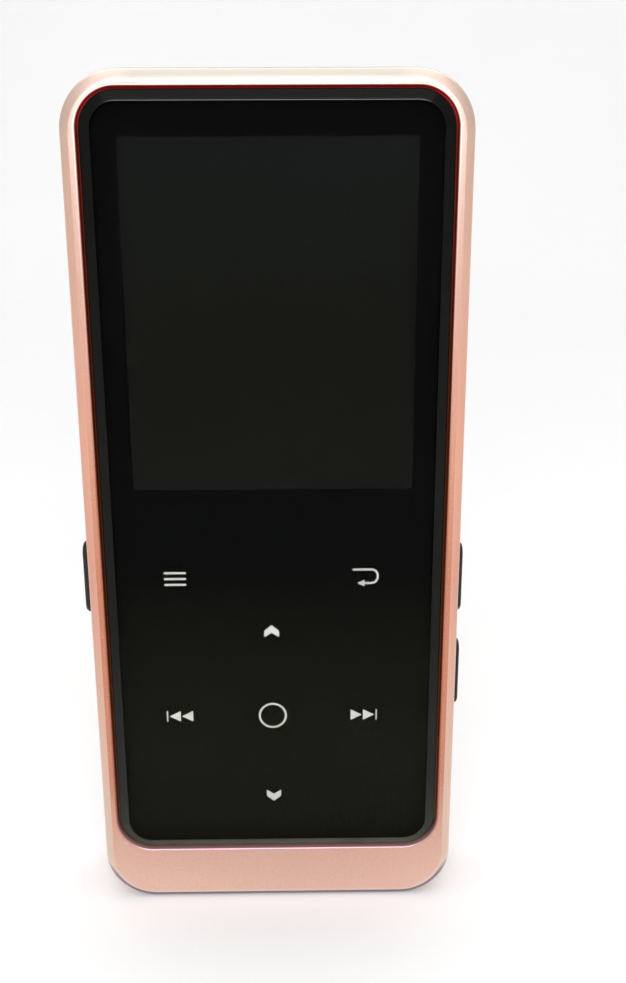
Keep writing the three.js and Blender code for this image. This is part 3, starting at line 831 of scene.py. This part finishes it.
SCREWS = [f"cover_screw_{i}" for i in (1, 2, 3, 4)]


def screw_place(name):
    """The middle (x, y) of a cover screw, and the z of its head."""
    lo, hi = lying_box(name)
    return (lo.x + hi.x) / 2, (lo.y + hi.y) / 2, lo.z


# The posts that take the cover screws, and their pilot holes, which stop a skin short of the front.
POST = {"radius": 1.9, "front": 0.5, "skin": 0.4, "pilot": 0.82}
posts, pilots = [], []
for name in SCREWS:
    x, y, _ = screw_place(name)
    posts.append(lathe([(POST["radius"], FRAME_BACK), (POST["radius"], POST["front"])], facing(x, y), 32))
    pilot = [(POST["pilot"], FRAME_BACK - BEYOND), (POST["pilot"], POST["front"] - POST["skin"])]
    pilots.append(lathe(pilot, facing(x, y), 24))

case_frame = new_object(skin(frame_rings(), loop=True), "case_frame")
combine(case_frame, posts, "UNION")
combine(case_frame, pilots, "DIFFERENCE")
combine(case_frame, [button_slot(b) for b in BUTTONS.values()], "DIFFERENCE")
jack_hole = end_hole(JACK["x"], 0, JACK["hole"])
combine(case_frame, [jack_hole, usb_hole(), end_hole(**MICROPHONE), card_hole()], "DIFFERENCE")
smooth(case_frame, 24)
finish_piece(case_frame, LOOKS["rose_metal"], replaces=["front_frame"])


def edge_distance(x, y, side, bottom, top, corner):
    """How far (x, y) is outside a rectangle with round corners, below 0 inside it."""
    middle = (bottom + top) / 2
    across_by = abs(x) - (side - corner)
    along_by = abs(y - middle) - ((top - bottom) / 2 - corner)
    if across_by > 0 and along_by > 0:
        return math.hypot(across_by, along_by) - corner
    return max(across_by, along_by) - corner


for look in ("rose_rim", "rose_band", "rose_band_outer", "rose_groove", "rose_edge"):
    case_frame.data.materials.append(LOOKS[look])
RIM_FACE, BAND_FACE, OUTER_FACE, GROOVE_FACE, EDGE_FACE = 1, 2, 3, 4, 5
# A sloped face this close to the case's outline belongs to the band, or to its outer part.
BAND_REACH, OUTER_REACH = 1.4, 0.68
NEAR = 0.01
for face in case_frame.data.polygons:
    x, y, z = face.center.x / MM, face.center.z / MM, -face.center.y / MM
    forward = -face.normal.y
    from_body = edge_distance(x, y, HALF_WIDTH, 0, LENGTH, BODY_CORNER)
    from_opening = edge_distance(x, y, **OPENING)
    # The edge's faces that look less far forward take the groove's painted shade.
    if z > RIM_FRONT - OPENING_CHAMFER and -NEAR < from_opening < OPENING_CHAMFER - NEAR:
        face.material_index = EDGE_FACE if forward > 0.6 else GROOVE_FACE
    elif from_opening < NEAR and LEDGE["front"] - 0.1 < z < RIM_FRONT:
        face.material_index = GROOVE_FACE
    elif z > BAND["wall_top"] - 0.2 and from_body > -BAND_REACH and forward < 0.99:
        # The outer part of the band takes the underside's painted shade.
        face.material_index = OUTER_FACE if from_body > -OUTER_REACH else BAND_FACE
    elif z > RIM_FRONT - 2 * NEAR:
        face.material_index = RIM_FACE

# ---- Case: rear cover and its screws -------------------------------

COVER_BACK = COVER_LO.z
COVER_EDGE_DROP = 0.75
TAB = {"gap": 0.15, "thickness": 0.7, "half": 5, "low": 61, "high": 71, "root": COVER_FRONT - 0.2}
cover_rings = [lifted(body_ring(SEAM_ROUND), COVER_FRONT), lifted(body_ring(0), COVER_FRONT - SEAM_ROUND)]
for cosine, sine in quarter_turn(10):
    cover_rings.append(lifted(body_ring(1 - cosine), COVER_BACK + COVER_EDGE_DROP * (1 - sine)))
case_back = new_object(skin(cover_rings), "case_back")
side, top = CAVITY["side"] - TAB["gap"], CAVITY["top"] - TAB["gap"]
root, tip = TAB["root"], COVER_HI.z
combine(
    case_back,
    [
        box_mesh((-TAB["half"], top - TAB["thickness"], root), (TAB["half"], top, tip)),
        box_mesh((-side, TAB["low"], root), (TAB["thickness"] - side, TAB["high"], tip)),
        box_mesh((side - TAB["thickness"], TAB["low"], root), (side, TAB["high"], tip)),
    ],
    "UNION",
)
# A countersunk screw hole, as (radius, distance from the cover's back).
SINK = [(1.57, -1), (1.57, 0), (1.47, 0.08), (0.82, 0.66), (0.82, 3)]
sinks = []
for name in SCREWS:
    x, y, _ = screw_place(name)
    sinks.append(lathe(SINK, facing(x, y, COVER_BACK)))
combine(case_back, sinks, "DIFFERENCE")
smooth(case_back, 24)
finish_piece(case_back, LOOKS["rose_metal"], replaces=["rear_cover"])

# A screw as (radius, distance from its head): the head, the rings that stand for its thread, and the tip.
SCREW_HEAD = [(1.22, 0.0), (1.31, 0.02), (1.35, 0.08), (0.72, 0.55)]
THREAD = {"turns": 12, "crest": 0.70, "root": 0.60, "start": 0.6, "valley": 0.705, "pitch": 0.21}
SCREW_TIP = [(0.68, 3.2), (0.5, 3.5)]
# The two arms of the cross recess: half its length and width at the mouth, and at the bottom.
RECESS_ARMS = (((0.78, 0.15), (0.30, 0.10)), ((0.15, 0.78), (0.10, 0.30)))
RECESS_DEPTH = 0.42


def cover_screw(name):
    """A countersunk screw with a cross recess."""
    x, y, head = screw_place(name)
    place = facing(x, y, head)
    profile = list(SCREW_HEAD)
    for i in range(THREAD["turns"]):
        rise = i * THREAD["pitch"]
        profile += [(THREAD["crest"], THREAD["start"] + rise), (THREAD["root"], THREAD["valley"] + rise)]
    screw = new_object(lathe(profile + SCREW_TIP, place, 40), name.replace("cover", "rear"))
    arms = []
    for mouth, bottom in RECESS_ARMS:
        rings = []
        for (half_x, half_y), depth in ((mouth, -0.1), (bottom, RECESS_DEPTH)):
            corners = [(half_x, half_y), (-half_x, half_y), (-half_x, -half_y), (half_x, -half_y)]
            rings.append([place(a, b, depth) for a, b in corners])
        arms.append(skin(rings))
    combine(screw, arms, "DIFFERENCE")
    smooth(screw)
    finish_piece(screw, LOOKS["screw_steel"], replaces=[name])


for name in SCREWS:
    cover_screw(name)

# ---- Front glass, print and display --------------------------------

BEVEL = {"width": 1.0, "drop": 0.46}


def glass_ring(inset):
    """The outline of the glass, drawn in by inset."""
    return opening_ring(GROOVE + inset)


glass_back, glass_front = GLASS_LO.z, GLASS_HI.z
edge = glass_front - BEVEL["drop"]
glass_rings = [
    lifted(glass_ring(0.04), glass_back),
    lifted(glass_ring(0), glass_back + 0.04),
    lifted(glass_ring(0), edge - 0.16),
]
slope = curve((0.0, edge - 0.12), (0.0, edge - 0.02), (0.02, edge + 0.02), (0.14, edge + 0.07), 5)
width = BEVEL["width"]
crest = curve(
    (width - 0.16, glass_front - 0.068),
    (width - 0.08, glass_front - 0.030),
    (width - 0.02, glass_front),
    (width + 0.10, glass_front),
    5,
)
glass_rings += [lifted(glass_ring(inset), z) for inset, z in slope + crest]
glass = new_object(skin(glass_rings), "front_glass")
smooth(glass, 40)
finish_piece(glass, LOOKS["front_glass"], replaces=["cover_glass"])
# The print runs to the edge, so the bevel and the sides are backed with black. Along the top end only, the
# crest of the bevel takes a more reflective copy of the edge's material: a painted highlight.
glass.data.materials.append(LOOKS["glass_edge"])
glass.data.materials.append(LOOKS["glass_crest"])
EDGE_OF_GLASS, CREST_OF_GLASS = 1, 2
CREST = {"depth": 0.07, "reach": 1.7}
for face in glass.data.polygons:
    y, z = face.center.z / MM, -face.center.y / MM
    if glass_back + 0.001 < z < glass_front - 0.001:
        lit = z > glass_front - CREST["depth"] and y > OPENING["top"] - CREST["reach"]
        face.material_index = CREST_OF_GLASS if lit else EDGE_OF_GLASS


def plate(outline, z0, z1):
    """A thin flat piece with the outline (x, y)."""
    return skin([lifted(outline, z0), lifted(outline, z1)])


# The clear window in the print, and how far inside it the display's active area starts.
WINDOW = {"side": 14.65, "bottom": OPENING["top"] - 40.5, "top": OPENING["top"] - 4.6}
ACTIVE = {"side": 0.65, "bottom": 0.9, "top": 0.2, "corner": 0.1}
side = WINDOW["side"] - ACTIVE["side"]
low, high = WINDOW["bottom"] + ACTIVE["bottom"], WINDOW["top"] - ACTIVE["top"]
outline = round_rectangle(-side, low, side, high, ACTIVE["corner"], 3, 1, 1)
active = new_object(plate(outline, LCD_FRONT + 0.01, LCD_FRONT + 0.03), "display_active_area")
finish_piece(active, LOOKS["display_active"])

# ---- Touch icons: ink on the back of the glass ---------------------

ICON_BACK, ICON_FRONT = glass_back - 0.016, glass_back - 0.004
ICON_X = -0.37
ICON_SIDE = 10.2
PAD_Y = OPENING["top"] - 67.18
PAD_REACH = 10.32
UPPER_Y = OPENING["top"] - 50.45


def icon(name, outlines):
    """One icon from one or more closed outlines, each a list of (x, y)."""
    whole = bmesh.new()
    for outline in outlines:
        part = to_mesh(plate(outline, ICON_BACK, ICON_FRONT), name)
        whole.from_mesh(part)
        bpy.data.meshes.remove(part)
    finish_piece(new_object(whole, name), LOOKS["white_ink"])


def moved(outline, x, y):
    """An outline moved by (x, y)."""
    return [(px + x, py + y) for px, py in outline]


def bar(x0, y0, x1, y1):
    """A bar with round ends."""
    return round_rectangle(x0, y0, x1, y1, (y1 - y0) / 2 * 0.98, 6, 1, 1)


def stroke(path, width):
    """A line of one width along a path, with square ends."""
    left, right = [], []
    for i, (x, y) in enumerate(path):
        x0, y0 = path[max(i - 1, 0)]
        x1, y1 = path[min(i + 1, len(path) - 1)]
        far = math.hypot(x1 - x0, y1 - y0)
        nx, ny = (y0 - y1) / far * width / 2, (x1 - x0) / far * width / 2
        left.append((x + nx, y + ny))
        right.append((x - nx, y - ny))
    return left + right[::-1]


MENU = {"half": 1.19, "thin": 0.115, "pitch": 0.68, "x": ICON_X - ICON_SIDE - 0.1, "y": UPPER_Y - 0.08}
menu_bar = bar(-MENU["half"], -MENU["thin"], MENU["half"], MENU["thin"])
icon("icon_menu", [moved(menu_bar, MENU["x"], MENU["y"] + step * MENU["pitch"]) for step in (-1, 0, 1)])


def back_arrow():
    """A line that runs right, turns down and comes back to an arrowhead."""
    height, turn_x = 0.79, 0.68
    path = [(-1.38, height), (-0.9, height), (0.2, height), (turn_x - 0.06, height)]
    for i in range(17):
        turn = math.radians(90 - 180 * i / 16)
        path.append((turn_x + 0.66 * math.cos(turn), height * math.sin(turn)))
    path += [(0.4, -height), (-0.2, -height)]
    head = [(-0.86, -height), (-0.08, -height - 0.39), (-0.08, -height + 0.39)]
    return [stroke(path, 0.22), head]


icon("icon_back", [moved(part, ICON_X + ICON_SIDE, UPPER_Y + 0.06) for part in back_arrow()])


def chevron(way):
    """A thick arrowhead, pointing up for 1 and down for -1."""
    points = [(-0.81, -0.72), (0, -0.2), (0.81, -0.72), (0.81, 0.05), (0, 0.72), (-0.81, 0.05)]
    return [(x, way * y) for x, y in points]


icon("icon_up", [moved(chevron(1), ICON_X, PAD_Y + PAD_REACH + 0.06)])
icon("icon_down", [moved(chevron(-1), ICON_X, PAD_Y - PAD_REACH)])


def skip(way):
    """Two filled arrowheads and a bar, pointing along way."""
    half = 0.65
    parts = [[(-1.48, half), (-1.48, -half), (-0.24, 0)], [(-0.10, half), (-0.10, -half), (1.14, 0)]]
    parts.append([(1.31, -half), (1.46, -half), (1.46, half), (1.31, half)])
    return [[(way * x, y) for x, y in part] for part in parts]


icon("icon_previous", [moved(part, ICON_X - ICON_SIDE - 0.2, PAD_Y) for part in skip(-1)])
icon("icon_next", [moved(part, ICON_X + ICON_SIDE, PAD_Y) for part in skip(1)])


def ring_icon(name, x, y, radius, width):
    """A thin flat ring."""
    near, far = radius - width / 2, radius + width / 2
    profile = [(near, ICON_BACK), (far, ICON_BACK), (far, ICON_FRONT), (near, ICON_FRONT)]
    ring = new_object(lathe(profile, facing(x, y), 72, loop=True), name)
    finish_piece(ring, LOOKS["white_ink"])


ring_icon("icon_centre_ring", ICON_X, PAD_Y, 1.46, 0.22)

# ---- Side buttons --------------------------------------------------

# inner and outer are distances from the middle plane. The flange is behind the wall, and the nub presses the
# switch. A point of the crown is (below the outermost point, in from the cap's outline).
FLANGE = {"inner": 17.85, "outer": 18.45, "round": 0.05}
NUB = {"inner": 17.42, "reach": 0.8, "half": 0.5, "overlap": 0.2}
KEY = {"edge": 0.42, "crown": ((0.015, 0.75), (0.0, 1.1)), "crown_drop": 0.05}


def side_button(name, button):
    """A capsule-shaped cap with a rounded edge and a slightly domed face, on a flange with a nub."""
    side, outer = button["side"], button["outer"]
    inner, step, soft, edge = FLANGE["inner"], FLANGE["outer"], FLANGE["round"], KEY["edge"]
    stations = [
        (inner, FLANGE_OVERHANG - soft),
        (inner + soft, FLANGE_OVERHANG),
        (step - soft, FLANGE_OVERHANG),
        (step, FLANGE_OVERHANG - soft),
        (step, 0),
    ]
    start = outer - KEY["crown_drop"] - edge
    stations += [(start + edge * sine, edge * (cosine - 1)) for cosine, sine in quarter_turn(8)]
    stations += [(outer - drop, -inset) for drop, inset in KEY["crown"]]
    rings = [across(side, x, capsule(button, grow)) for x, grow in stations]
    thing = new_object(skin(rings), name.replace("button", "key_cap"))
    middle = (button["bottom"] + button["top"]) / 2
    near, far = sorted((side * NUB["inner"], side * (inner + NUB["overlap"])))
    reach, half = NUB["reach"], NUB["half"]
    combine(thing, [box_mesh((near, middle - reach, -half), (far, middle + reach, half))], "UNION")
    smooth(thing)
    finish_piece(thing, LOOKS["button_dark"], button["body"], [name])


for name, button in BUTTONS.items():
    side_button(name, button)

# ---- Sockets on the bottom end -------------------------------------


def usb_shell():
    """The formed steel shell, its wall thinner towards the mouth."""
    mouth, back, wall, lip, lip_depth = USB_LO.y, USB_HI.y, 0.3, 0.14, 0.35
    outer = [(mouth, 0.0), (mouth + 0.1, 0.0), (back, 0.0)]
    inner = [(back - wall, -wall), (mouth + lip_depth, -wall), (mouth, -lip)]
    rings = [upright(usb_outline(grow), y) for y, grow in outer + inner]
    shell = new_object(skin(rings), "usb_shell")
    smooth(shell)
    finish_piece(shell, LOOKS["socket_steel"], replaces=["usb_socket"])


usb_shell()

# The contacts on the socket's tongue. back and front are depths from the socket's middle.
CONTACT = {"count": 5, "pitch": 0.65, "half": 0.16, "low": 1.32, "high": 4.3, "back": 0.302, "front": 0.335}
for i in range(CONTACT["count"]):
    x, half = USB["x"] + (i - 2) * CONTACT["pitch"], CONTACT["half"]
    outline = round_rectangle(x - half, CONTACT["low"], x + half, CONTACT["high"], 0.05, 3, 1, 1)
    strip = plate(outline, USB["z"] + CONTACT["back"], USB["z"] + CONTACT["front"])
    finish_piece(new_object(strip, f"usb_contact_{i + 1}"), LOOKS["gold_contact"])


def jack_ring():
    """The turned metal ring round the mouth of the headphone jack."""
    y = JACK["bottom"]
    profile = [(1.84, y - 0.16), (2.3, y - 0.16), (2.42, y - 0.08), (2.46, y - 0.005), (1.82, y - 0.005)]
    ring = new_object(lathe(profile, upward(JACK["x"], 0), 56, loop=True), "jack_mouth_ring")
    smooth(ring)
    finish_piece(ring, LOOKS["socket_steel"])


jack_ring()

# ---- Floor, lights and camera --------------------------------------


def stage_floor():
    """Pale paper, flat under the player and curved up into walls behind it and at both sides."""
    half, front, back, corner, curl, top = 1.6, -3.0, 0.50, 0.45, 0.16, 1.2

    def track(inset, height):
        """The line round the sides and the back, at a distance in from the walls."""
        side, far, bend = half - inset, back - inset, corner - inset
        points = [(-side, front, height)]
        for way, start in ((-1, 180), (1, 90)):
            for step in range(13):
                turn = math.radians(start - 90 * step / 12)
                x = way * (side - bend) + bend * math.cos(turn)
                points.append((x, far - bend + bend * math.sin(turn), height))
        return points + [(side, front, height)]

    lines = [track(curl + 0.02, 0)]
    lines += [track(curl * (1 - sine), curl * (1 - cosine)) for cosine, sine in quarter_turn(16)]
    lines.append(track(0, top))
    bm = bmesh.new()
    rows = [[bm.verts.new(point) for point in line] for line in lines]
    bm.faces.new(rows[0])
    for a, b in zip(rows, rows[1:]):
        for i in range(len(a) - 1):
            bm.faces.new((a[i], a[i + 1], b[i + 1], b[i]))
    bmesh.ops.recalc_face_normals(bm, faces=bm.faces)
    floor = new_object(bm, "floor")
    floor.data.shade_smooth()
    look = Look("pale_paper")
    slow = look.noise(120.0, detail=3)
    look.set("Base Color", look.blend(look.remap(slow, 0, 1), (0.88, 0.88, 0.88), (0.90, 0.90, 0.90)))
    look.set("Roughness", look.remap(slow, 0.85, 0.95))
    look.shader.inputs["Specular IOR Level"].default_value = 0.1
    floor.data.materials.append(look.material)


stage_floor()


def soft_light(name, place, aim, width, height, power):
    """A white rectangular lamp at place that points at aim, in metres and watts."""
    lamp = bpy.data.lights.new(name, "AREA")
    lamp.shape = "RECTANGLE"
    lamp.size, lamp.size_y = width, height
    lamp.energy = power
    thing = bpy.data.objects.new(name, lamp)
    bpy.context.scene.collection.objects.link(thing)
    thing.location = place
    thing.rotation_mode = "QUATERNION"
    thing.rotation_quaternion = (Vector(aim) - Vector(place)).to_track_quat("-Z", "Y")


soft_light("overhead", (0.0, -0.20, 0.75), (0, 0, 0.03), 0.8, 0.9, 1.80)
soft_light("flash", (0.0, -0.21, 0.146), (0, 0, 0.08), 0.12, 0.034, 0.30)
soft_light("backdrop", (0.0, 0.12, 0.55), (0, 0.42, 0.05), 0.9, 0.2, 0.85)

LOW_GREY, HIGH_GREY = (0.60, 0.60, 0.60, 1), (0.68, 0.68, 0.68, 1)


def surroundings():
    """A pale room, slightly brighter overhead."""
    world = bpy.data.worlds.new("room")
    bpy.context.scene.world = world
    world.use_nodes = True
    tree = world.node_tree
    tree.nodes.clear()
    out = tree.nodes.new("ShaderNodeOutputWorld")
    back = tree.nodes.new("ShaderNodeBackground")
    tree.links.new(back.outputs[0], out.inputs[0])
    place = tree.nodes.new("ShaderNodeTexCoord").outputs["Generated"]
    split = tree.nodes.new("ShaderNodeSeparateXYZ")
    tree.links.new(place, split.inputs[0])
    rise = tree.nodes.new("ShaderNodeMapRange")
    rise.interpolation_type = "SMOOTHSTEP"
    tree.links.new(split.outputs["Z"], rise.inputs["Value"])
    rise.inputs["From Min"].default_value = -0.02
    rise.inputs["From Max"].default_value = 0.30
    mix = tree.nodes.new("ShaderNodeMix")
    mix.data_type = "RGBA"
    tree.links.new(rise.outputs[0], mix.inputs[0])
    mix.inputs[6].default_value = LOW_GREY
    mix.inputs[7].default_value = HIGH_GREY
    tree.links.new(mix.outputs[2], back.inputs["Color"])
    back.inputs["Strength"].default_value = 1.0


surroundings()

# Angles in degrees, and the place in millimetres.
CAMERA = {"lens": 45.56, "pitch": 18.92, "yaw": 0.779, "roll": -0.182, "place": (2.526, -127.338, 92.372)}


def place_camera():
    """Looks down on the standing player from the front, a little to the right of its middle."""
    data = bpy.data.cameras.new("camera")
    data.lens = CAMERA["lens"]
    data.sensor_width = 36
    data.clip_start = 0.01
    data.clip_end = 20
    camera = bpy.data.objects.new("camera", data)
    bpy.context.scene.collection.objects.link(camera)
    pitch, yaw, roll = (math.radians(CAMERA[angle]) for angle in ("pitch", "yaw", "roll"))
    ahead = Vector((math.sin(yaw) * math.cos(pitch), math.cos(yaw) * math.cos(pitch), -math.sin(pitch)))
    right = Vector((math.cos(yaw), -math.sin(yaw), 0))
    up = right.cross(ahead)
    right, up = (
        math.cos(roll) * right + math.sin(roll) * up,
        math.cos(roll) * up - math.sin(roll) * right,
    )
    turn = Matrix((right, up, -ahead)).transposed()
    camera.matrix_world = Matrix.Translation(Vector(CAMERA["place"]) * MM) @ turn.to_4x4()
    bpy.context.scene.camera = camera


place_camera()
bpy.context.scene.view_settings.view_transform = "Standard"
